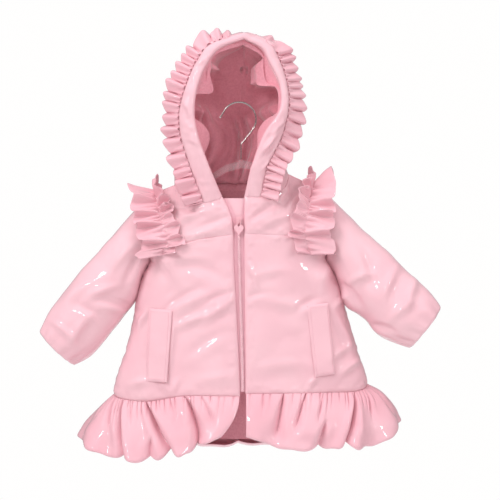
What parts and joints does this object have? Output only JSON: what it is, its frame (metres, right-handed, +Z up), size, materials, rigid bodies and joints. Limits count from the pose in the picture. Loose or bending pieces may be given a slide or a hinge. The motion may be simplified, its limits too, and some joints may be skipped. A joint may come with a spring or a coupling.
{
  "type": "hooded coat",
  "caption": "Toddler's padded glossy coat with a ruffled hood, shoulder and hem ruffles, welt pockets and a front zip, zipped up on a hanger.",
  "frame": {"origin": "inside top of the hanger's hook, where a rod carries it", "axes": "+Z up; the coat's front faces -Y; +X is to the right as seen from the front"},
  "size_m": [0.5933, 0.1894, 0.6484],
  "materials": {
    "patent": "glossy coated fabric, padded",
    "fleece": "soft fleece",
    "zip": "satin",
    "hook": "bright wire",
    "clear": "clear"
  },
  "bodies": {
    "coat": {"front_left": "patent", "front_right": "patent", "back": "patent", "yoke_left": "patent", "yoke_right": "patent", "back_yoke": "patent", "sleeve_left": "patent", "sleeve_right": "patent", "hood_band": "patent", "hood_side_left": "patent", "hood_side_right": "patent", "hood_ruffle": "patent", "shoulder_ruffle_left": "patent", "shoulder_ruffle_right": "patent", "hem_ruffle_left": "patent", "hem_ruffle_right": "patent", "hem_ruffle_back": "patent", "pocket_welt_left": "patent", "pocket_welt_right": "patent", "wind_flap": "patent", "hood_lining_left": "fleece", "hood_lining_right": "fleece", "back_lining": "fleece", "zip_tape_left": "zip", "zip_tape_right": "zip", "zip_chain": "zip", "zip_slider": "zip", "hanger_hook": "hook", "hanger_bar": "clear"},
    "zip_pull": {"zip_pull": "zip"}
  },
  "joints": [
    {"name": "pull_swing", "type": "hinge", "parent": "coat", "child": "zip_pull", "pos_m": [0, -0.04615, -0.1775], "axis": [-1, 0, 0], "range_deg": [0, 150]}
  ]
}
